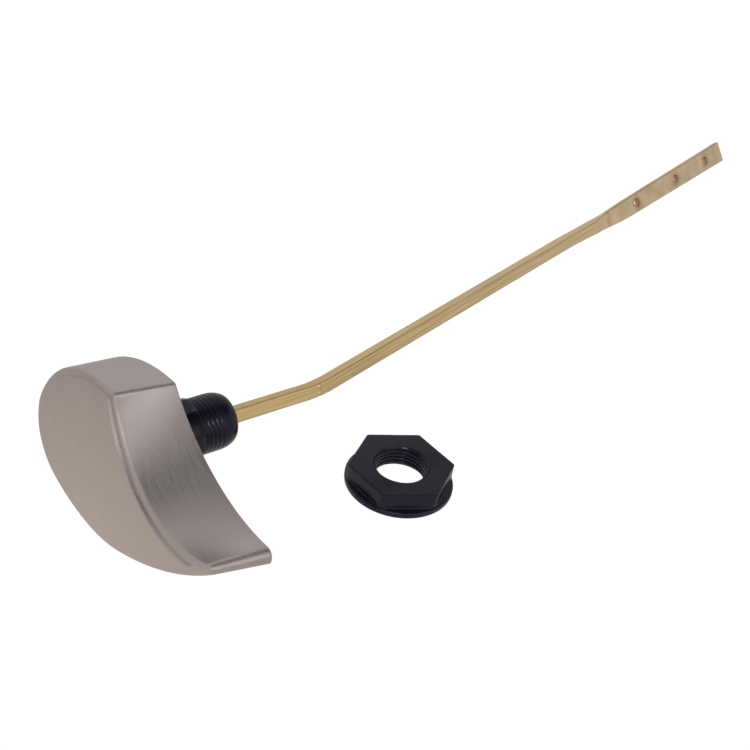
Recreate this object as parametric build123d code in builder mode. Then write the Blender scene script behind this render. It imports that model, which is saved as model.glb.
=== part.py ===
import os
from math import cos, radians, sin

from build123d import *

# Cistern lever for the side wall of a toilet tank, sizes in millimetres.
# X runs along the pivot axis into the tank, Y to the back and Z up.
# The origin is on the pivot axis, where the bushing's thread starts.

# Handle: a drafted die casting with a crescent outline, open at the back.
# The thumb scoop is deeper at the face than at the rim, and the tip lifts towards the face.
# Heel, tail and scoop points are shares of the crescent's back, reach and drop.
handle_reach = 50.8
handle_back = 39.7
handle_rise = 20.2
handle_drop = 33.1
handle_depth = 15.2
handle_wall = 2.2
face_inset = 1.3
tip_h = 3.8
rim_corner = 5.0
face_corner = 3.0
rim_crown = 0.545
face_crown = 0.579
rim_tip = 0.0
face_tip = 2.2
rim_scoop = 6.4
face_scoop = -1.2
heel_high = (1.004, 0.241)
heel_low = (0.746, 0.924)
tail_at = (0.127, 0.850)
scoop_at = 0.477
rim_gap = 0.5
edge_round = 1.3
front_round = 1.1
round_steps = 4
plateau_inset = 2.1
plateau_rise = 0.8
plateau_bevel = 0.5
hub_r = 8.2
spigot_r = 4.5

# Bushing: a seat flange, a square neck for the tank hole and a threaded shank.
seat_r = 11.0
seat_t = 2.4
neck_af = 15.0
neck_corner_r = 7.95
neck_len = 8.0
thread_r = 7.5
thread_len = 10.5
thread_round = 2.0
run_clearance = 0.06
end_wall = 2.4
end_hole_r = 3.1
seat_play = 0.3

# Arm: a square bar set in the hub and bent once, with a flattened end.
rod_w = 3.75
rod_roll = 21.5
socket_depth = 8.5
arm_straight = 28.0
arm_bend = 11.6
arm_bend_roll = 27.4
arm_bend_r = 45.0
arm_reach = 208.0
flat_len = 80.0
flat_blend = 12.0
flat_roll = 35.0
flat_drop = 0.7
flat_t = 2.0
flat_w_near = 5.9
flat_w_far = 7.2
chain_hole_r = 1.5
chain_hole_ends = (10.8, 30.6, 55.2)

# Fixing nut: a flanged hexagon nut lying beside the lever.
nut_af = 27.3
nut_h = 6.8
nut_flange_r = 15.8
nut_flange_t = 1.9
nut_clearance = 0.4
nut_lead = 0.9
nut_bevel = 0.4
nut_x = 62.1
nut_y = -13.8
nut_turn = 32.6

# Places that follow from the sizes above.
seat_x = -neck_len
rim_x = seat_x - rim_gap
face_x = rim_x - handle_depth
flange_x = seat_x - seat_t
hub_x = flange_x - seat_play
socket_x = hub_x - socket_depth
bore_end = thread_len - end_wall
bend_x = thread_len + arm_straight


def crescent(inset, corner_y, crown, tip_z, scoop_z):
    """Closed outline of the handle in its own Y and Z."""
    reach = handle_reach - inset
    back = handle_back - inset
    drop = handle_drop - inset
    corner = (-corner_y, handle_rise)
    top = (crown * back, crown * handle_rise)
    heel_start = (heel_high[0] * back, -heel_high[1] * drop)
    heel_end = (heel_low[0] * back, -heel_low[1] * drop)
    tail = (-tail_at[0] * reach, -tail_at[1] * drop)
    tip_low = (-reach, tip_z)
    tip_top = (-reach, tip_z + tip_h)
    scoop = (-scoop_at * reach, scoop_z)
    top_arc = ThreePointArc(corner, top, heel_start)
    heel_arc = TangentArc(heel_start, heel_end, tangent=top_arc % 1)
    belly_arc = TangentArc(heel_end, tail, tangent=heel_arc % 1)
    TangentArc(tail, tip_low, tangent=belly_arc % 1)
    Line(tip_low, tip_top)
    ThreePointArc(tip_top, scoop, corner)


def rim_face():
    """Face of the handle's outline at the open rim, for the sketch being built."""
    with BuildLine() as outline:
        crescent(0, rim_corner, rim_crown, rim_tip, rim_scoop)
    return make_face(outline.edges())


def front_face():
    """Face of the handle's outline at the front, for the sketch being built."""
    with BuildLine() as outline:
        crescent(face_inset, face_corner, face_crown, face_tip, face_scoop)
    return make_face(outline.edges())


def round_corners():
    """Rounds the upright edges at the tip and the top corner, in the sketch being built."""
    fillet(vertices().sort_by(Axis.X)[:2] + vertices().sort_by(Axis.Y)[-1:], edge_round)


with BuildPart() as handle:
    # Drafted body from the open rim to the rounded front edge.
    with BuildSketch(Plane.YZ.offset(rim_x)):
        rim_face()
        round_corners()
    for step in range(round_steps + 1):
        turn = radians(90 * step / round_steps)
        with BuildSketch(Plane.YZ.offset(face_x + front_round * (1 - sin(turn)))):
            front_face()
            round_corners()
            if step:
                offset(amount=front_round * (cos(turn) - 1), mode=Mode.REPLACE)
    loft(ruled=True)
    # Raised plateau on the face.
    with BuildSketch(Plane.YZ.offset(face_x)):
        front_face()
        offset(amount=-plateau_inset, mode=Mode.REPLACE)
    extrude(amount=-plateau_rise)
    chamfer(handle.faces().sort_by(Axis.X)[0].edges(), plateau_bevel)
    # Hollow behind the face, with the hub left standing.
    with BuildSketch(Plane.YZ.offset(rim_x)):
        rim_face()
        offset(amount=-handle_wall, mode=Mode.REPLACE)
    with BuildSketch(Plane.YZ.offset(face_x + handle_wall)):
        front_face()
        offset(amount=-handle_wall, mode=Mode.REPLACE)
    loft(ruled=True, mode=Mode.SUBTRACT)
    with BuildSketch(Plane.YZ.offset(face_x + handle_wall / 2)):
        Circle(hub_r)
    extrude(amount=hub_x - face_x - handle_wall / 2)
    # Spigot that turns in the bushing, with the square socket of the arm.
    with BuildSketch(Plane.YZ.offset(hub_x)):
        Circle(spigot_r)
    extrude(amount=bore_end - seat_play - hub_x)
    with BuildSketch(Plane.YZ.offset(socket_x)):
        Rectangle(rod_w, rod_w, rotation=-rod_roll)
    extrude(amount=thread_len - socket_x, mode=Mode.SUBTRACT)

with BuildPart() as bushing:
    with BuildSketch(Plane.YZ.offset(flange_x)):
        Circle(seat_r)
    extrude(amount=seat_t)
    with BuildSketch(Plane.YZ.offset(seat_x)):
        Rectangle(neck_af, neck_af)
        Circle(neck_corner_r, mode=Mode.INTERSECT)
    extrude(amount=neck_len)
    with BuildSketch(Plane.YZ):
        Circle(thread_r)
    extrude(amount=thread_len)
    fillet(bushing.faces().sort_by(Axis.X)[-1].edges(), thread_round)
    with BuildSketch(Plane.YZ.offset(flange_x)):
        Circle(spigot_r + run_clearance)
    extrude(amount=bore_end - flange_x, mode=Mode.SUBTRACT)
    with BuildSketch(Plane.YZ.offset(bore_end)):
        Circle(end_hole_r)
    extrude(amount=end_wall, mode=Mode.SUBTRACT)

# Directions of the bent stretch of the arm.
bend_pt = Vector(bend_x, 0, 0)
far_dir = Vector(
    cos(radians(arm_bend)),
    sin(radians(arm_bend)) * cos(radians(arm_bend_roll)),
    sin(radians(arm_bend)) * sin(radians(arm_bend_roll)),
)
far_end = bend_pt + far_dir * arm_reach
flat_start = bend_pt + far_dir * (arm_reach - flat_len)
rod_start = Vector(socket_x, 0, 0)


def width_dir(roll):
    """Direction across a face of the bent stretch, leaning back by roll degrees."""
    up_dir = Vector(0, sin(radians(roll)), cos(radians(roll)))
    return (up_dir - far_dir * up_dir.dot(far_dir)).normalized()


# The flattened end starts a little below the bar's own line and runs back up to it.
rod_dir = width_dir(rod_roll)
flat_dir = width_dir(flat_roll)
hole_dir = far_dir.cross(flat_dir)
flat_full = flat_start + far_dir * flat_blend - flat_dir * flat_drop
flat_line = (far_end - flat_full).normalized()

with BuildPart() as arm_rod:
    with BuildLine() as path:
        FilletPolyline(rod_start, bend_pt, flat_start, radius=arm_bend_r)
    with BuildSketch(Plane(rod_start, x_dir=(0, 1, 0), z_dir=(1, 0, 0))):
        Rectangle(rod_w, rod_w, rotation=-rod_roll)
    sweep(path=path.line)

with BuildPart() as arm_paddle:
    # Short blend from the square bar to the flattened end.
    with BuildSketch(Plane(flat_start, x_dir=rod_dir, z_dir=far_dir)):
        Rectangle(rod_w, rod_w)
    with BuildSketch(Plane(flat_full, x_dir=flat_dir, z_dir=far_dir)):
        Rectangle(flat_w_near, flat_t)
    loft()
    with BuildSketch(Plane(flat_full, x_dir=flat_dir, z_dir=far_dir)):
        Rectangle(flat_w_near, flat_t)
    with BuildSketch(Plane(far_end, x_dir=flat_dir, z_dir=far_dir)):
        Rectangle(flat_w_far, flat_t)
    loft()
    for hole_end in chain_hole_ends:
        with BuildSketch(Plane(far_end - flat_line * hole_end, x_dir=flat_line, z_dir=hole_dir)):
            Circle(chain_hole_r)
        extrude(amount=flat_w_far, both=True, mode=Mode.SUBTRACT)

# The nut lies on the level of the handle's lowest point.
table_z = handle.part.bounding_box().min.Z

with BuildPart() as fixing_nut:
    with BuildSketch(Plane.XY.offset(table_z)):
        with Locations((nut_x, nut_y)):
            Circle(nut_flange_r)
    extrude(amount=nut_flange_t)
    with BuildSketch(Plane.XY.offset(table_z)):
        with Locations((nut_x, nut_y)):
            RegularPolygon(nut_af / 2, 6, major_radius=False, rotation=nut_turn)
    extrude(amount=nut_h)
    chamfer(fixing_nut.faces().sort_by(Axis.Z)[-1].edges(), nut_bevel)
    with BuildSketch(Plane.XY.offset(table_z)):
        with Locations((nut_x, nut_y)):
            Circle(thread_r + nut_clearance)
    extrude(amount=nut_h, mode=Mode.SUBTRACT)
    top_rim = fixing_nut.faces().sort_by(Axis.Z)[-1].edges().filter_by(GeomType.CIRCLE)
    low_rims = fixing_nut.faces().sort_by(Axis.Z)[0].edges().filter_by(GeomType.CIRCLE)
    low_rim = low_rims.sort_by(SortBy.RADIUS)[0]
    chamfer(top_rim, nut_lead)
    chamfer(low_rim, nut_lead)

handle.part.label = "handle"
bushing.part.label = "bushing"
arm_rod.part.label = "arm_rod"
arm_paddle.part.label = "arm_paddle"
fixing_nut.part.label = "fixing_nut"

os.makedirs("parts", exist_ok=True)
export_step(handle.part, "parts/handle.step")
export_step(bushing.part, "parts/bushing.step")
export_step(arm_rod.part, "parts/arm_rod.step")
export_step(arm_paddle.part, "parts/arm_paddle.step")
export_step(fixing_nut.part, "parts/fixing_nut.step")
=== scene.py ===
import math

import bmesh
import bpy
import numpy as np
from mathutils import Matrix, Vector


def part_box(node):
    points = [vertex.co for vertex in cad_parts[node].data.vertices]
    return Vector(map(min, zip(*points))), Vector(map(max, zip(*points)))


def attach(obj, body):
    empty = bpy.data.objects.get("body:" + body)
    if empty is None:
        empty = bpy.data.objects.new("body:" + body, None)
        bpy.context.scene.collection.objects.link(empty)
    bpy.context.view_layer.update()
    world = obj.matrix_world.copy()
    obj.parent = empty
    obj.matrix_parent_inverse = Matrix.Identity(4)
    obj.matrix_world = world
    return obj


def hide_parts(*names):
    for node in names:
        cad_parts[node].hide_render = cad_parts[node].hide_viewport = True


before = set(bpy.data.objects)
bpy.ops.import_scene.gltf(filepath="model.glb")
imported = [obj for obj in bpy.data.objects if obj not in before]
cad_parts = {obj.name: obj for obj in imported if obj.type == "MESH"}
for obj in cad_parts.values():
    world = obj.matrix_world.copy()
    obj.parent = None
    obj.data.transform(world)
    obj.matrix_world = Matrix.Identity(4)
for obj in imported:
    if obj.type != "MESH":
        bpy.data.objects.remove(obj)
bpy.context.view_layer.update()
scene = bpy.context.scene

# Sizes are in millimetres in the frame's own axes: X along the pivot, Y to the back, Z up.
MM = 0.001
handle_low, handle_high = (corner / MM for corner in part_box("handle"))
bushing_low, bushing_high = (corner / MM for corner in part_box("bushing"))
nut_low, nut_high = (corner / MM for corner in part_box("fixing_nut"))

# Places along the pivot axis.
neck_len = 8.0
seat_play = 0.3
rim_gap = 0.5
plateau_rise = 0.8
flange_x = bushing_low.x
thread_len = bushing_high.x
seat_x = -neck_len
rim_x = seat_x - rim_gap
face_x = handle_low.x + plateau_rise
hub_x = flange_x - seat_play
spigot_x = handle_high.x
bore_end = spigot_x + seat_play

# Shared helpers. Edges that turn by more than the sharp angle, in degrees, stay sharp.
sharp_angle = 40


def smooth_step(value):
    """Share from 0 to 1 that starts and ends gently."""
    value = np.clip(value, 0.0, 1.0)
    return value * value * (3 - 2 * value)


def quarter(count):
    """Angles from zero to a right angle, in radians."""
    return np.linspace(0, math.pi / 2, count)


def full_turn(count):
    """Angles all the way round, in radians."""
    return np.linspace(0, 2 * math.pi, count, endpoint=False)


def round_off(radius, count):
    """Pairs of offsets round a quarter circle: one shrinks from the radius to 0, the other grows."""
    return [(radius * (1 - math.sin(turn)), radius * (1 - math.cos(turn))) for turn in quarter(count)]


def grid_piece(name, rings, closed_path=False, caps=()):
    """Mesh from rings of points in millimetres. Caps names the ends that a flat face fills.

    Its UV map holds the distances in metres around a ring and from ring to ring.
    """
    rings = np.asarray(rings, dtype=float)
    count, points = rings.shape[:2]
    spans = count if closed_path else count - 1
    around = np.linalg.norm(np.roll(rings, -1, axis=1) - rings, axis=2).mean(axis=0)
    across = np.linalg.norm(np.roll(rings, -1, axis=0) - rings, axis=2).mean(axis=1)
    u = np.concatenate(([0.0], np.cumsum(around))) * MM
    v = np.concatenate(([0.0], np.cumsum(across))) * MM
    faces = []
    coords = []
    for row in range(spans):
        here = row * points
        there = (row + 1) % count * points
        for col in range(points):
            beside = (col + 1) % points
            faces.append((here + col, here + beside, there + beside, there + col))
            coords += [(u[col], v[row]), (u[col + 1], v[row])]
            coords += [(u[col + 1], v[row + 1]), (u[col], v[row + 1])]
    for end in caps:
        row = 0 if end == "start" else count - 1
        faces.append(tuple(row * points + col for col in range(points)))
        coords += [(u[col], v[row]) for col in range(points)]
    mesh = bpy.data.meshes.new(name)
    mesh.from_pydata((rings.reshape(-1, 3) * MM).tolist(), [], faces)
    layer = mesh.uv_layers.new(name="UVMap")
    layer.data.foreach_set("uv", np.array(coords, dtype=np.float32).ravel())
    outward = bmesh.new()
    outward.from_mesh(mesh)
    bmesh.ops.recalc_face_normals(outward, faces=outward.faces)
    outward.to_mesh(mesh)
    outward.free()
    obj = bpy.data.objects.new(name, mesh)
    scene.collection.objects.link(obj)
    return obj


def combine(whole, part, operation):
    """Adds a part to the whole, or cuts it out, and removes the part."""
    change = whole.modifiers.new("change", "BOOLEAN")
    change.operation = operation
    change.object = part
    bpy.context.view_layer.objects.active = whole
    bpy.ops.object.modifier_apply(modifier=change.name)
    bpy.data.objects.remove(part)


def finish_piece(obj, body, slot, *stood_for):
    """Shades a piece smoothly between its sharp edges and lets it ride in place of CAD nodes."""
    obj.data.shade_smooth()
    obj.data.set_sharp_from_angle(angle=math.radians(sharp_angle))
    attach(obj, body)
    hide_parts(*stood_for)


def round_x(x, radius, turns):
    """Ring about the pivot axis. Radius is one number or one for each angle."""
    radius = np.broadcast_to(radius, turns.shape)
    return np.stack([np.full_like(turns, x), radius * np.cos(turns), radius * np.sin(turns)], axis=1)


# Handle: a crescent casting whose outline changes from its open rim to its face.
# The crowns, heel_high, heel_low, tail_at and scoop_at are shares of the back, rise, drop and reach.
handle_reach = -handle_low.y
handle_back = 39.7
handle_rise = 20.2
handle_drop = 33.1
handle_wall = 2.2
face_inset = 1.3
tip_h = 3.8
rim_corner, face_corner = 5.0, 3.0
rim_crown, face_crown = 0.545, 0.579
rim_tip, face_tip = 0.0, 2.2
rim_scoop, face_scoop = 6.4, -1.2
heel_high = (1.004, 0.241)
heel_low = (0.746, 0.924)
tail_at = (0.127, 0.850)
scoop_at = 0.477
edge_round = 1.3
rim_tip_round = 2.0
skin_inset = 0.03
front_round = 1.1
rim_round = 0.3
fine_round = 0.3
plateau_inset = 2.1
plateau_foot = 0.2
plateau_round = plateau_rise - plateau_foot
hub_r = 8.2
hub_foot = 1.0
hub_edge = 0.4
hub_sides = 96
spigot_r = 4.5

# Points on the lines that outlines are read from, and then on each stretch of an outline.
top_points, heel_points, belly_points, tail_points = 400, 200, 240, 320
tip_points, scoop_points = 40, 400
back_count, scoop_count, corner_count = 240, 120, 10
low_count, tip_count, high_count = 8, 6, 12

# Rings along the hollow, the rim's rounded edges, the band, the front edge, the plateau and the hub.
hollow_steps, rim_steps, band_steps, front_steps = 7, 4, 14, 9
plateau_foot_steps, plateau_steps = 5, 8
hub_foot_steps, hub_edge_steps = 5, 4


def arc_through(start, middle, end, count):
    """Points on the arc from start through middle to end."""
    start, middle, end = (np.array(p, dtype=float) for p in (start, middle, end))
    rows = 2 * np.array([middle - start, end - start])
    centre = np.linalg.solve(rows, [middle @ middle - start @ start, end @ end - start @ start])
    turns = np.unwrap([math.atan2(*(p - centre)[::-1]) for p in (start, middle, end)])
    turns = np.linspace(turns[0], turns[2], count)
    return centre + np.linalg.norm(start - centre) * np.stack([np.cos(turns), np.sin(turns)], axis=1)


def arc_on(before, end, count):
    """Points on the arc that goes on smoothly from the points before it to end."""
    start = before[-1]
    heading = before[-1] - before[-2]
    side = np.array([-heading[1], heading[0]]) / np.linalg.norm(heading)
    chord = np.array(end, dtype=float) - start
    centre = start + side * (chord @ chord) / (2 * chord @ side)
    spoke = start - centre
    swing = 2 * math.atan2(chord @ side, chord @ heading / np.linalg.norm(heading))
    turns = math.atan2(spoke[1], spoke[0]) + np.linspace(0, swing, count)
    return centre + np.linalg.norm(spoke) * np.stack([np.cos(turns), np.sin(turns)], axis=1)


def crescent(inset, corner_y, crown, tip_z, scoop_z):
    """The outline's three smooth stretches: back, tip and scoop."""
    reach = handle_reach - inset
    back = handle_back - inset
    drop = handle_drop - inset
    corner = (-corner_y, handle_rise)
    tip_low = (-reach, tip_z)
    tip_top = (-reach, tip_z + tip_h)
    heel_start = (heel_high[0] * back, -heel_high[1] * drop)
    top = arc_through(corner, (crown * back, crown * handle_rise), heel_start, top_points)
    heel = arc_on(top, (heel_low[0] * back, -heel_low[1] * drop), heel_points)
    belly = arc_on(heel, (-tail_at[0] * reach, -tail_at[1] * drop), belly_points)
    tail = arc_on(belly, tip_low, tail_points)
    tip = np.linspace(tip_low, tip_top, tip_points)
    scoop = arc_through(tip_top, (-scoop_at * reach, scoop_z), corner, scoop_points)
    return np.concatenate([top, heel[1:], belly[1:], tail[1:]]), tip, scoop


rim_lines = crescent(0.0, rim_corner, rim_crown, rim_tip, rim_scoop)
face_lines = crescent(face_inset, face_corner, face_crown, face_tip, face_scoop)


def inward(line):
    """Unit normals of a stretch, towards the inside of the outline."""
    along = np.gradient(line, axis=0)
    along /= np.linalg.norm(along, axis=1)[:, None]
    return np.stack([along[:, 1], -along[:, 0]], axis=1)


def crossing(first, second):
    """Where the end of one line crosses the start of another: a place on each, and the point."""
    step_a = np.diff(first, axis=0)[:, None]
    step_b = np.diff(second, axis=0)[None]
    gap = second[None, :-1] - first[:-1, None]
    det = step_a[..., 0] * step_b[..., 1] - step_a[..., 1] * step_b[..., 0]
    # Steps that run side by side never cross, and get the least value instead of zero.
    least_det = 1e-12
    det = np.where(np.abs(det) < least_det, least_det, det)
    at_a = (gap[..., 0] * step_b[..., 1] - gap[..., 1] * step_b[..., 0]) / det
    at_b = (gap[..., 0] * step_a[..., 1] - gap[..., 1] * step_a[..., 0]) / det
    hits = np.argwhere((at_a >= 0) & (at_a <= 1) & (at_b >= 0) & (at_b <= 1))
    if not len(hits):
        return None
    row, col = hits[np.argmin(len(first) - hits[:, 0] + hits[:, 1])]
    share = at_a[row, col]
    return row + share, col + at_b[row, col], first[row] + share * (first[row + 1] - first[row])


def sample(data, places):
    """Rows of data at places between them."""
    index = np.arange(len(data))
    return np.stack([np.interp(places, index, data[:, axis]) for axis in (0, 1)], axis=1)


def corner_arc(centre, before, after, radius, count):
    """Points round a corner, between the inward directions at its two sides."""
    first = math.atan2(-before[1], -before[0])
    swing = math.atan2(-after[1], -after[0]) - first
    swing = (swing + math.pi) % (2 * math.pi) - math.pi
    turns = first + np.linspace(0, swing, count + 2)[1:-1]
    return centre + radius * np.stack([np.cos(turns), np.sin(turns)], axis=1)


def outline(share, inset, corner_r, tip_r):
    """Closed outline, share of the way from rim to face, set in and with rounded corners.

    Where it is set in too far for a tip of its own, the back and the scoop meet in one round nose.
    """
    back, tip, scoop = (a + share * (b - a) for a, b in zip(rim_lines, face_lines))
    back_in, tip_in, scoop_in = inward(back), inward(tip), inward(scoop)
    deep = inset + corner_r
    tip_deep = inset + tip_r
    low_back = back + back_in * tip_deep
    low_tip = tip + tip_in * tip_deep
    low_scoop = scoop + scoop_in * tip_deep

    def stretch(line, normals, start, end, count):
        places = np.linspace(start, end, count)
        return sample(line, places) + sample(normals, places) * inset

    def rounded(centre, normals_a, place_a, normals_b, place_b, radius, count):
        before = sample(normals_a, [place_a])[0]
        after = sample(normals_b, [place_b])[0]
        return corner_arc(centre, before, after, radius, count)

    scoop_end, back_start, top_centre = crossing(scoop + scoop_in * deep, back + back_in * deep)
    low = crossing(low_back, low_tip)
    high = crossing(low_tip, low_scoop)
    if low and high and low[1] < high[0]:
        back_end, tip_start, low_centre = low
        tip_end, scoop_start, high_centre = high
        nose = [
            rounded(low_centre, back_in, back_end, tip_in, tip_start, tip_r, low_count),
            stretch(tip, tip_in, tip_start, tip_end, tip_count),
            rounded(high_centre, tip_in, tip_end, scoop_in, scoop_start, tip_r, high_count),
        ]
    else:
        # The last quarter of the scoop is left out, because it crosses the back at the top corner.
        back_end, scoop_start, centre = crossing(low_back, low_scoop[: len(scoop) * 3 // 4])
        nose_count = low_count + tip_count + high_count
        nose = [rounded(centre, back_in, back_end, scoop_in, scoop_start, tip_r, nose_count)]
    return np.concatenate([
        stretch(back, back_in, back_start, back_end, back_count),
        *nose,
        stretch(scoop, scoop_in, scoop_start, scoop_end, scoop_count),
        rounded(top_centre, scoop_in, scoop_end, back_in, back_start, corner_r, corner_count),
    ])


def handle_ring(x, share, inset, corner_r, tip_r):
    """Ring of the casting in the plane at x."""
    flat = outline(share, inset, corner_r, tip_r)
    return np.column_stack([np.full(len(flat), x), flat])


def fine_ring(x, share, inset):
    """Ring of the hollow or the plateau, whose corners are all crisp."""
    return handle_ring(x, share, inset, fine_round, fine_round)


def outer_ring(x, inset):
    """Ring of the outside, whose tip is rounder towards the rim."""
    inset = inset + skin_inset
    share = (rim_x - x) / (rim_x - face_x)
    tip_r = rim_tip_round + share * (edge_round - rim_tip_round)
    return handle_ring(x, share, inset, edge_round - inset, tip_r - inset)


def handle_skin():
    """Outside and hollow of the casting, from the hollow's floor over the rim to the face."""
    floor_x = face_x + handle_wall
    top_x = face_x - plateau_rise
    rings = []
    for x in np.linspace(floor_x, rim_x - fine_round, hollow_steps):
        rings.append(fine_ring(x, (rim_x - x) / (rim_x - floor_x), handle_wall))
    for shrink, grow in round_off(fine_round, rim_steps)[1:]:
        rings.append(fine_ring(rim_x - shrink, 0, handle_wall - grow))
    for shrink, grow in round_off(rim_round, rim_steps):
        rings.append(outer_ring(rim_x - grow, shrink))
    for x in np.linspace(rim_x - rim_round, face_x + front_round, band_steps)[1:]:
        rings.append(outer_ring(x, 0))
    for shrink, grow in round_off(front_round, front_steps)[1:]:
        rings.append(outer_ring(face_x + shrink, grow))
    for shrink, grow in round_off(plateau_foot, plateau_foot_steps):
        rings.append(fine_ring(face_x - grow, 1, plateau_inset - shrink))
    for shrink, grow in round_off(plateau_round, plateau_steps)[1:]:
        rings.append(fine_ring(top_x + shrink, 1, plateau_inset + grow))
    rings.append(fine_ring(top_x, 1, plateau_inset + 2 * plateau_round))
    return grid_piece("handle_casting", rings, caps=("start", "end"))


def hub():
    """Boss and spigot inside the hollow."""
    floor_x = face_x + handle_wall
    path = [(floor_x - handle_wall / 2, hub_r + hub_foot)]
    foot = round_off(hub_foot, hub_foot_steps)
    edge = round_off(hub_edge, hub_edge_steps)
    path += [(floor_x + grow, hub_r + shrink) for shrink, grow in foot]
    path += [(hub_x - shrink, hub_r - grow) for shrink, grow in edge]
    path.append((hub_x, spigot_r))
    path += [(spigot_x - shrink, spigot_r - grow) for shrink, grow in edge]
    turns = full_turn(hub_sides)
    return grid_piece("hub", [round_x(x, r, turns) for x, r in path], caps=("start", "end"))


def handle():
    """The casting: its skin with the hub joined on."""
    casting = handle_skin()
    combine(casting, hub(), "UNION")
    finish_piece(casting, "lever", "brushed_nickel", "handle")


handle()

# Bushing: flange, squared neck and a helical thread that runs out on a domed end.
seat_r = bushing_high.y
neck_af = 15.0
neck_corner_r = 7.95
thread_r = 7.5
thread_depth = 0.18
thread_pitch = 1.25
thread_rise = 0.6
thread_fade = (4.2, 7.0)
thread_step = 0.09
groove_w = 0.2
dome_len = 5.0
dome_drop = 2.6
run_clearance = 0.06
bore_r = spigot_r + run_clearance
end_hole_r = 3.1
mould_round = 0.4
bushing_sides = 240
mould_steps, neck_steps, root_steps = 5, 6, 6


def thread_groove(along, turns):
    """Depth of a helical groove as a share, at one place along its axis."""
    phase = (along / thread_pitch - turns / (2 * math.pi)) % 1.0
    return np.exp(-(((phase - 0.5) / (groove_w / thread_pitch)) ** 2))


def neck_radius(turns):
    """Radius of the square neck, whose corners are turned down."""
    flat = np.maximum(np.abs(np.cos(turns)), np.abs(np.sin(turns)))
    return np.minimum(neck_af / 2 / flat, neck_corner_r)


def dome_radius(x):
    """Radius over the thread's crests, falling towards the end."""
    into = max(0.0, (x - thread_len + dome_len) / dome_len)
    return thread_r - dome_drop * (1 - math.sqrt(1 - into * into))


def thread_radius(x, turns):
    """Radius of the shank, whose thread rises at the neck and fades out towards the dome."""
    fade = 1 - smooth_step((x - thread_fade[0]) / (thread_fade[1] - thread_fade[0]))
    cut = np.maximum(thread_groove(x, turns), 1 - smooth_step(x / thread_rise)) * fade
    return dome_radius(x) - thread_depth * cut


def bushing():
    """The moulding, from its bore round the flange, neck, thread and dome to its end hole."""
    turns = full_turn(bushing_sides)
    neck = neck_radius(turns)
    to_root = thread_r - thread_depth - neck
    edge = round_off(mould_round, mould_steps)
    path = [(bore_end, bore_r), (flange_x + mould_round, bore_r), (flange_x, bore_r + mould_round)]
    path += [(flange_x + grow, seat_r - shrink) for shrink, grow in edge]
    path += [(seat_x - grow, seat_r - shrink) for shrink, grow in edge[::-1]]
    path += [(seat_x + grow, neck + shrink) for shrink, grow in edge]
    path += [(x, neck) for x in np.linspace(seat_x + 2 * mould_round, -mould_round, neck_steps)]
    for share in np.linspace(0, 1, root_steps)[1:]:
        path.append((mould_round * (share - 1), neck + to_root * smooth_step(share)))
    path += [(x, thread_radius(x, turns)) for x in np.arange(thread_step, thread_len, thread_step)]
    path += [(thread_len, dome_radius(thread_len)), (thread_len, end_hole_r + mould_round)]
    path += [(thread_len - mould_round, end_hole_r), (bore_end, end_hole_r)]
    rings = [round_x(x, radius, turns) for x, radius in path]
    piece = grid_piece("bushing_moulding", rings, closed_path=True)
    finish_piece(piece, "mounting", "bushing_plastic", "bushing")


bushing()

# Fixing nut: a flanged hexagon with a helical thread inside.
nut_x = (nut_low.x + nut_high.x) / 2
nut_y = (nut_low.y + nut_high.y) / 2
nut_h = nut_high.z - nut_low.z
nut_flange_r = (nut_high.x - nut_low.x) / 2
nut_af = 27.3
nut_turn = 32.6
nut_flange_t = 1.9
nut_clearance = 0.4
nut_hole_r = thread_r + nut_clearance
nut_lead = 0.35
nut_ridge = 0.5
nut_round = 0.4
nut_sides = 300
hexagon_steps, flange_steps = 6, 5
corner_power = 90


def hexagon_radius(turns):
    """Radius of the hexagon. The higher the corner power, the sharper its corners."""
    sixth = math.pi / 3
    sides = math.radians(nut_turn) + sixth * (0.5 + np.arange(6))
    least_share = 1e-6
    share = np.clip(np.cos(turns[None] - sides[:, None]), least_share, None) ** corner_power
    return nut_af / 2 * share.sum(axis=0) ** (-1 / corner_power)


def nut_thread_radius(z, turns):
    """Radius of the nut's hole, whose ridge fades out towards both ends."""
    fade = smooth_step((z - nut_lead) / nut_ridge) * smooth_step((nut_h - nut_lead - z) / nut_ridge)
    return nut_hole_r - nut_ridge * fade * (1 - thread_groove(z, turns))


def fixing_nut():
    """The nut, from its hole over the hexagon and the flange to its underside."""
    turns = full_turn(nut_sides)
    hexagon = hexagon_radius(turns)
    flange_edge = nut_flange_r - nut_round

    def ring(z, radius):
        across = nut_x + radius * np.cos(turns)
        back = nut_y + radius * np.sin(turns)
        return np.stack([across, back, np.full_like(turns, nut_low.z + z)], axis=1)

    path = [(0, nut_hole_r + nut_lead)]
    for z in np.arange(nut_lead, nut_h - nut_lead, thread_step):
        path.append((z, nut_thread_radius(z, turns)))
    path.append((nut_h - nut_lead, nut_hole_r))
    path += [(nut_h, nut_hole_r + lead) for lead in (nut_lead, 2 * nut_lead)]
    path.append((nut_h, hexagon - 2 * nut_round))
    edge = round_off(nut_round, hexagon_steps)
    path += [(nut_h - shrink, hexagon - grow) for shrink, grow in edge[::-1]]
    for shrink, grow in edge:
        path.append((nut_flange_t + shrink, np.minimum(hexagon + grow, flange_edge)))
    flange = round_off(nut_round, flange_steps)
    path += [(nut_flange_t - shrink, nut_flange_r - grow) for shrink, grow in flange[::-1]]
    path += [(shrink, nut_flange_r - grow) for shrink, grow in flange]
    rings = [ring(z, radius) for z, radius in path]
    piece = grid_piece("fixing_nut_moulding", rings, closed_path=True)
    finish_piece(piece, "mounting", "nut_plastic", "fixing_nut")


fixing_nut()

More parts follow.
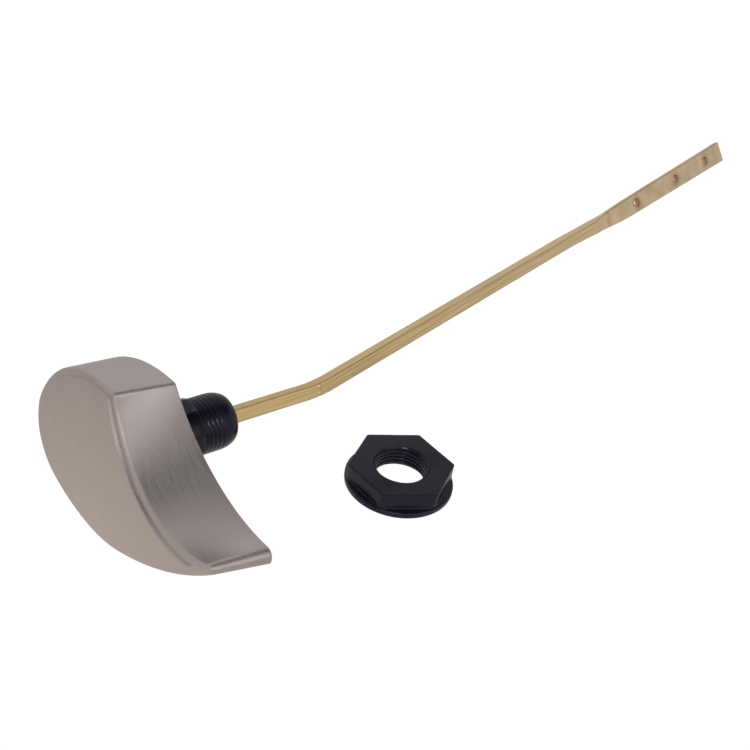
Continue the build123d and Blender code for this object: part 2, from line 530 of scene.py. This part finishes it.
# Arm: a square bar, bent once and flattened at its end, with three chain holes.
# Bend and rolls are in degrees. Chain holes are measured from the bar's end.
rod_w = 3.75
rod_roll = 21.5
socket_depth = 8.5
arm_straight = 28.0
arm_bend = 11.6
arm_bend_roll = 27.4
arm_bend_r = 45.0
arm_reach = 208.0
flat_len = 80.0
flat_blend = 20.0
flat_lead = 20.0
spread_lead = flat_lead / 2
press_len = 8.0
flat_roll = 35.0
flat_drop = 0.9
flat_t = 2.0
flat_w_near = 5.9
flat_w_far = 7.2
bar_round = 0.4
bar_margin = 0.12
chain_hole_r = 1.5
chain_hole_ends = (10.8, 30.6, 55.2)
chain_hole_sides = 48
pip_r = 0.7
pip_rise = 0.18
pip_apart = 1.8
pip_sides = 24

# Rings along the straight, the bend, the run to the flattened end and the stretches of that end.
straight_steps, bend_steps, run_steps = 8, 16, 12
lead_steps, press_steps, blend_steps, flat_steps = 16, 12, 10, 13

# Points round each corner of the bar, and from a pip's foot to its top.
bar_corner_steps, pip_steps = 5, 6

socket_x = hub_x - socket_depth
bend_x = thread_len + arm_straight
bend_swing = math.radians(arm_bend)
bend_lean = math.radians(arm_bend_roll)
bend_start = bend_x - arm_bend_r * math.tan(bend_swing / 2)
pivot_dir = np.array([1.0, 0.0, 0.0])
bend_side = np.array([0.0, math.cos(bend_lean), math.sin(bend_lean)])
far_dir = math.cos(bend_swing) * pivot_dir + math.sin(bend_swing) * bend_side
far_end = bend_x * pivot_dir + far_dir * arm_reach
flat_start = far_end - far_dir * flat_len


def leaning(roll, along):
    """Direction across the bar, leaning back by roll degrees and square to the bar."""
    up = np.array([0.0, math.sin(math.radians(roll)), math.cos(math.radians(roll))])
    across = up - along * (up @ along)
    return across / np.linalg.norm(across)


flat_dir = leaning(flat_roll, far_dir)


def bar_ring(centre, along, across, width, depth):
    """Rectangle with rounded corners round a point of the bar.

    A point at the margin on each side of a corner keeps the shading of the flats even.
    """
    side = np.cross(along, across)
    ring = []
    for quadrant, (sx, sy) in enumerate(((1, 1), (-1, 1), (-1, -1), (1, -1))):
        turns = quarter(bar_corner_steps) + quadrant * math.pi / 2
        a = sx * (width / 2 - bar_round) + bar_round * np.cos(turns)
        b = sy * (depth / 2 - bar_round) + bar_round * np.sin(turns)
        first = (a[0] + bar_margin * math.sin(turns[0]), b[0] - bar_margin * math.cos(turns[0]))
        last = (a[-1] - bar_margin * math.sin(turns[-1]), b[-1] + bar_margin * math.cos(turns[-1]))
        for at_a, at_b in (first, *zip(a, b), last):
            ring.append(centre + at_a * across + at_b * side)
    return ring


def square_ring(centre, along):
    """Ring of the bar where it is still square."""
    return bar_ring(centre, along, leaning(rod_roll, along), rod_w, rod_w)


def bend_at(turn):
    """Point and direction of the bar's middle line in the bend."""
    along = math.cos(turn) * pivot_dir + math.sin(turn) * bend_side
    spoke = math.sin(turn) * pivot_dir - math.cos(turn) * bend_side
    return bend_start * pivot_dir + arm_bend_r * (bend_side + spoke), along


def flat_middle(along):
    """Point of the flattened end's middle line, at a distance from its start."""
    drop = flat_drop * smooth_step((along + flat_lead) / (flat_blend + flat_lead))
    return flat_start + far_dir * along - flat_dir * drop * (1 - max(along, 0) / flat_len)


def flat_ring(along):
    """Ring of the flattened end. Its width starts to spread a little before it is pressed thin."""
    spread = smooth_step((along + spread_lead) / (flat_blend + spread_lead))
    press = 1 - (1 - np.clip(along / press_len, 0, 1)) ** 2
    across = leaning(rod_roll + (flat_roll - rod_roll) * spread, far_dir)
    full_w = flat_w_near + (flat_w_far - flat_w_near) * along / flat_len
    width = rod_w + (full_w - rod_w) * spread
    return bar_ring(flat_middle(along), far_dir, across, width, rod_w + (flat_t - rod_w) * press)


def bar_rings():
    """Rings of the bar from its socket to its end."""
    straight = np.linspace(socket_x, bend_start, straight_steps)
    rings = [square_ring(x * pivot_dir, pivot_dir) for x in straight]
    rings += [square_ring(*bend_at(turn)) for turn in np.linspace(0, bend_swing, bend_steps)[1:]]
    bend_end = bend_at(bend_swing)[0]
    lead_start = flat_start - far_dir * flat_lead
    for share in np.linspace(0, 1, run_steps)[1:-1]:
        rings.append(square_ring(bend_end + (lead_start - bend_end) * share, far_dir))
    lead = np.linspace(-flat_lead, 0, lead_steps, endpoint=False)
    press = np.linspace(0, press_len, press_steps, endpoint=False)
    spread = np.linspace(press_len, flat_blend, blend_steps, endpoint=False)
    flat = np.linspace(flat_blend, flat_len, flat_steps)
    return rings + [flat_ring(along) for along in (*lead, *press, *spread, *flat)]


def bit(place, along):
    """Round cutter for a chain hole."""
    radius = chain_hole_r * MM
    bpy.ops.mesh.primitive_cylinder_add(vertices=chain_hole_sides, radius=radius, depth=flat_w_far * MM)
    made = bpy.context.object
    turn = Vector(along).to_track_quat("Z", "X").to_matrix().to_4x4()
    made.matrix_world = Matrix.Translation(Vector(place * MM)) @ turn
    return made


def pip(offset):
    """Small round pip on the bar's broad face, in the middle of the bend."""
    place, along = bend_at(bend_swing / 2)
    across = leaning(rod_roll, along)
    out = np.cross(along, across)
    turns = full_turn(pip_sides)
    spokes = np.cos(turns)[:, None] * along + np.sin(turns)[:, None] * across
    foot = place + across * offset + out * rod_w / 2
    rings = [foot - out * pip_rise + pip_r * spokes]
    for turn in quarter(pip_steps)[:-1]:
        rings.append(foot + out * pip_rise * math.sin(turn) + pip_r * math.cos(turn) * spokes)
    return grid_piece("pip", rings, caps=("start", "end"))


def arm():
    """The bar with its chain holes cut and its two pips joined on."""
    bar = grid_piece("arm_bar", bar_rings(), caps=("start", "end"))
    for end in chain_hole_ends:
        combine(bar, bit(flat_middle(flat_len - end), np.cross(far_dir, flat_dir)), "DIFFERENCE")
    for offset in (-pip_apart / 2, pip_apart / 2):
        combine(bar, pip(offset), "UNION")
    finish_piece(bar, "lever", "brass_bar", "arm_rod", "arm_paddle")


arm()

# Materials. A noise's useful range is from about 0.3 to 0.7, where ramps and spans start and end.
stain_reach = 2.2 * chain_hole_r
mark_share = 0.55
mark_core, mark_edge = 0.3, 1.5


def material(name):
    """New material with its node tree and main shader."""
    mat = bpy.data.materials.new(name)
    mat.use_nodes = True
    return mat, mat.node_tree, mat.node_tree.nodes["Principled BSDF"]


def node(tree, kind, **inputs):
    """New node with the given input values."""
    made = tree.nodes.new(kind)
    for key, value in inputs.items():
        made.inputs[key.replace("_", " ")].default_value = value
    return made


def worked_out(tree, kind, operation, first, second=None):
    """Value of an operation on a socket, and on a second socket or value where it needs one."""
    made = tree.nodes.new(kind)
    made.operation = operation
    tree.links.new(first, made.inputs[0])
    if isinstance(second, bpy.types.NodeSocket):
        tree.links.new(second, made.inputs[1])
    elif second is not None:
        made.inputs[1].default_value = second
    return made.outputs["Value"]


def noise(tree, coords, scale, detail, stretch_by=(1, 1, 1)):
    """Noise texture on stretched coordinates, as its factor socket."""
    place = node(tree, "ShaderNodeMapping", Scale=stretch_by)
    tree.links.new(coords, place.inputs["Vector"])
    texture = node(tree, "ShaderNodeTexNoise", Scale=scale, Detail=detail)
    tree.links.new(place.outputs["Vector"], texture.inputs["Vector"])
    return texture.outputs["Fac"]


def ramp(tree, factor, low, high, start=0.3, end=0.7, interpolation="LINEAR"):
    """Colour ramp between two colours."""
    made = tree.nodes.new("ShaderNodeValToRGB")
    made.color_ramp.interpolation = interpolation
    made.color_ramp.elements[0].position = start
    made.color_ramp.elements[0].color = (*low, 1)
    made.color_ramp.elements[1].position = end
    made.color_ramp.elements[1].color = (*high, 1)
    tree.links.new(factor, made.inputs["Fac"])
    return made.outputs["Color"]


def span(tree, factor, low, high, start=0.3, end=0.7):
    """Number between low and high that follows a factor."""
    made = node(tree, "ShaderNodeMapRange", From_Min=start, From_Max=end, To_Min=low, To_Max=high)
    tree.links.new(factor, made.inputs["Value"])
    return made.outputs["Result"]


def blend(tree, factor, first, second):
    """Colour between two colours, by a factor."""
    made = tree.nodes.new("ShaderNodeMixRGB")
    tree.links.new(factor, made.inputs["Fac"])
    tree.links.new(first, made.inputs["Color1"])
    tree.links.new(second, made.inputs["Color2"])
    return made.outputs["Color"]


def part_of(tree, vector, axis):
    """One coordinate of a vector."""
    made = tree.nodes.new("ShaderNodeSeparateXYZ")
    tree.links.new(vector, made.inputs["Vector"])
    return made.outputs[axis]


def bump(tree, shader, height, strength, distance):
    """Fine relief that follows a height. Its distance is in millimetres."""
    made = node(tree, "ShaderNodeBump", Strength=strength, Distance=distance * MM)
    tree.links.new(height, made.inputs["Height"])
    tree.links.new(made.outputs["Normal"], shader.inputs["Normal"])


def brushed_nickel():
    """Satin nickel, brushed along the band."""
    mat, tree, shader = material("brushed_nickel")
    shader.inputs["Metallic"].default_value = 1.0
    where = tree.nodes.new("ShaderNodeTexCoord").outputs["Object"]
    lines = noise(tree, where, scale=60.0, detail=6.0, stretch_by=(40, 3, 3))
    cloud = noise(tree, where, scale=30.0, detail=4.0)
    dark = ramp(tree, lines, low=(0.480, 0.428, 0.418), high=(0.535, 0.480, 0.468))
    light = ramp(tree, lines, low=(0.525, 0.470, 0.460), high=(0.580, 0.522, 0.510))
    tree.links.new(blend(tree, cloud, dark, light), shader.inputs["Base Color"])
    tree.links.new(span(tree, lines, low=0.42, high=0.53), shader.inputs["Roughness"])
    bump(tree, shader, lines, strength=0.05, distance=0.3)
    return mat


def hole_stain(tree, where):
    """Share of dark tarnish round the chain holes."""
    middles = [flat_middle(flat_len - end) * MM for end in chain_hole_ends]
    nearest = worked_out(tree, "ShaderNodeVectorMath", "DISTANCE", where, middles[0])
    for middle in middles[1:]:
        away = worked_out(tree, "ShaderNodeVectorMath", "DISTANCE", where, middle)
        nearest = worked_out(tree, "ShaderNodeMath", "MINIMUM", nearest, away)
    return span(tree, nearest, low=1.0, high=0.0, start=chain_hole_r * MM, end=stain_reach * MM)


def press_mark(tree, along):
    """Share of a faint darker line across the bar, where the press let go of it."""
    mark_x = (flat_start + far_dir * press_len)[0] * MM
    past = worked_out(tree, "ShaderNodeMath", "SUBTRACT", along, mark_x)
    away = worked_out(tree, "ShaderNodeMath", "ABSOLUTE", past)
    return span(tree, away, low=mark_share, high=0.0, start=mark_core * MM, end=mark_edge * MM)


def drawn_brass():
    """Dull brass with drawing streaks along the bar, greyer where it is pressed flat."""
    mat, tree, shader = material("drawn_brass")
    shader.inputs["Metallic"].default_value = 1.0
    coords = tree.nodes.new("ShaderNodeTexCoord")
    where = coords.outputs["Object"]
    streak = noise(tree, coords.outputs["UV"], scale=80.0, detail=5.0, stretch_by=(18, 0.6, 1))
    cloud = noise(tree, where, scale=220.0, detail=4.0)
    near = ramp(tree, streak, low=(0.54, 0.385, 0.165), high=(0.81, 0.615, 0.320))
    far = ramp(tree, streak, low=(0.67, 0.500, 0.270), high=(0.92, 0.730, 0.470))
    flat = ramp(tree, cloud, low=(0.71, 0.540, 0.330), high=(0.87, 0.690, 0.475))
    stain = ramp(tree, cloud, low=(0.50, 0.300, 0.170), high=(0.74, 0.525, 0.390))
    along = part_of(tree, where, "X")
    flat_x = flat_start[0] * MM
    outward = span(tree, along, low=0.0, high=1.0, start=thread_len * MM, end=flat_x)
    pressed = span(tree, along, low=0.0, high=1.0, start=flat_x, end=flat_x + press_len * MM)
    clean = blend(tree, pressed, blend(tree, outward, near, far), flat)
    marked = blend(tree, press_mark(tree, along), clean, stain)
    tree.links.new(blend(tree, hole_stain(tree, where), marked, stain), shader.inputs["Base Color"])
    tree.links.new(span(tree, streak, low=0.36, high=0.52), shader.inputs["Roughness"])
    bump(tree, shader, streak, strength=0.12, distance=0.3)
    return mat


def black_plastic(name, gloss, smoothest, roughest):
    """Blue-black moulded plastic with a faint grain and a thin shine, between two roughness values."""
    mat, tree, shader = material(name)
    shader.inputs["Specular IOR Level"].default_value = gloss
    shader.inputs["Specular Tint"].default_value = (0.76, 0.82, 1.0, 1)
    shader.inputs["Coat Weight"].default_value = 0.15
    shader.inputs["Coat Roughness"].default_value = 0.1
    where = tree.nodes.new("ShaderNodeTexCoord").outputs["Object"]
    grain = noise(tree, where, scale=2200.0, detail=3.0)
    cloud = noise(tree, where, scale=160.0, detail=3.0)
    tint = ramp(tree, cloud, low=(0.004, 0.004, 0.010), high=(0.008, 0.008, 0.018))
    tree.links.new(tint, shader.inputs["Base Color"])
    tree.links.new(span(tree, cloud, smoothest, roughest), shader.inputs["Roughness"])
    bump(tree, shader, grain, strength=0.08, distance=0.2)
    return mat


def dress(name, mat):
    """Gives a piece its one material."""
    mesh = bpy.data.objects[name].data
    mesh.materials.clear()
    mesh.materials.append(mat)


dress("handle_casting", brushed_nickel())
dress("arm_bar", drawn_brass())
dress("bushing_moulding", black_plastic("glossy_black", gloss=0.18, smoothest=0.16, roughest=0.24))
dress("fixing_nut_moulding", black_plastic("satin_black", gloss=0.27, smoothest=0.24, roughest=0.34))

# Floor, surroundings and light, in metres and watts.
# Strip places run from 0 at the front to 1 at the back, side places from 0 level to 1 overhead.
paper_width, paper_drop = 60.0, 0.0002
card_width, card_drop = 6.0, 0.0004
card_glow_near, card_glow_far = 0.74, 0.50
card_fall_start, card_fall_end = 0.01, 0.11
strip_front, strip_middle, strip_back = 0.08, 0.43, 0.80
strip_join = 0.01
side_low, side_high = 0.30, 0.70
world_strength = 0.64


def floor(name, width, drop, glow):
    """Plain glowing floor just under the part, centred below the handle's face."""
    bpy.ops.mesh.primitive_plane_add(size=width, location=(face_x * MM, 0.0, nut_low.z * MM - drop))
    plane = bpy.context.object
    plane.name = name
    mat, tree, shader = material(name)
    shader.inputs["Base Color"].default_value = (0.05, 0.05, 0.05, 1)
    shader.inputs["Roughness"].default_value = 0.9
    shader.inputs["Emission Color"].default_value = (*glow, 1)
    shader.inputs["Emission Strength"].default_value = 1.0
    plane.data.materials.append(mat)
    return plane, tree, shader


def white_paper():
    """White floor that the view shows."""
    paper = floor("white_paper", paper_width, paper_drop, glow=(1, 1, 1))[0]
    paper.visible_glossy = False
    paper.visible_diffuse = False


def warm_card():
    """Dimmer floor that the part mirrors, brightest below the handle's face."""
    card, tree, shader = floor("warm_card", card_width, card_drop, glow=(1.0, 0.93, 0.83))
    card.visible_camera = False
    where = tree.nodes.new("ShaderNodeTexCoord").outputs["Object"]
    away = worked_out(tree, "ShaderNodeVectorMath", "LENGTH", where)
    fall = span(tree, away, card_glow_near, card_glow_far, card_fall_start, card_fall_end)
    tree.links.new(fall, shader.inputs["Emission Strength"])


def surroundings():
    """Bright all round, with a dark strip overhead that runs along the pivot axis."""
    world = bpy.data.worlds.new("studio")
    world.use_nodes = True
    tree = world.node_tree
    ray = tree.nodes.new("ShaderNodeTexCoord").outputs["Generated"]
    white, dark, black = (1, 1, 1), (0.13, 0.13, 0.14), (0, 0, 0)
    back = span(tree, part_of(tree, ray, "Y"), low=0.0, high=1.0, start=-1.0, end=1.0)
    front_half = ramp(tree, back, white, dark, strip_front, strip_middle, "EASE")
    back_half = ramp(tree, back, dark, white, strip_middle, strip_back, "EASE")
    behind = span(tree, back, 0.0, 1.0, strip_middle - strip_join, strip_middle + strip_join)
    strip = blend(tree, behind, front_half, back_half)
    sides = ramp(tree, part_of(tree, ray, "Z"), white, black, side_low, side_high, "EASE")
    lit = node(tree, "ShaderNodeMixRGB", Fac=1.0)
    lit.blend_type = "LIGHTEN"
    tree.links.new(strip, lit.inputs["Color1"])
    tree.links.new(sides, lit.inputs["Color2"])
    tree.links.new(lit.outputs["Color"], tree.nodes["Background"].inputs["Color"])
    tree.nodes["Background"].inputs["Strength"].default_value = world_strength
    scene.world = world


def softbox(name, place, size, watts):
    """Rectangular light that faces the origin."""
    light = bpy.data.lights.new(name, "AREA")
    light.shape = "RECTANGLE"
    light.size, light.size_y = size
    light.energy = watts
    obj = bpy.data.objects.new(name, light)
    obj.location = place
    obj.rotation_euler = (-Vector(place)).to_track_quat("-Z", "Y").to_euler()
    scene.collection.objects.link(obj)
    return obj


def shine_light():
    """Light for the glints on the plastics and the bar's pips, which leaves the casting alone."""
    light = softbox("shine", place=(-0.75, -0.86, 0.61), size=(0.4, 0.3), watts=4.0)
    shiny = bpy.data.collections.new("shiny")
    for name in ("bushing_moulding", "fixing_nut_moulding", "arm_bar"):
        shiny.objects.link(bpy.data.objects[name])
    light.light_linking.receiver_collection = shiny


def camera():
    """Camera at the photograph's viewing angle."""
    eye = Vector((-134.8, -213.5, 197.2)) * MM
    ahead = Vector((0.55269, 0.60989, -0.56795)).normalized()
    right = Vector((0.7948, -0.59071, 0.13911))
    right = (right - ahead * right.dot(ahead)).normalized()
    lens = bpy.data.cameras.new("camera")
    lens.sensor_width = 36.0
    lens.lens = 60.0
    lens.clip_start = 0.01
    obj = bpy.data.objects.new("camera", lens)
    turn = Matrix((right, right.cross(ahead), -ahead)).transposed().to_4x4()
    obj.matrix_world = Matrix.Translation(eye) @ turn
    scene.collection.objects.link(obj)
    scene.camera = obj


white_paper()
warm_card()
surroundings()
softbox("front", place=(0.16, -1.1, 0.46), size=(0.8, 0.8), watts=1.45)
softbox("side", place=(-1.05, -0.55, 0.14), size=(0.3, 0.3), watts=1.1)
softbox("lamp", place=(-0.7, -0.8, 0.57), size=(0.12, 0.12), watts=0.25)
softbox("back", place=(0.24, 1.06, 0.5), size=(0.6, 0.4), watts=0.15)
shine_light()
camera()
scene.view_settings.view_transform = "Standard"
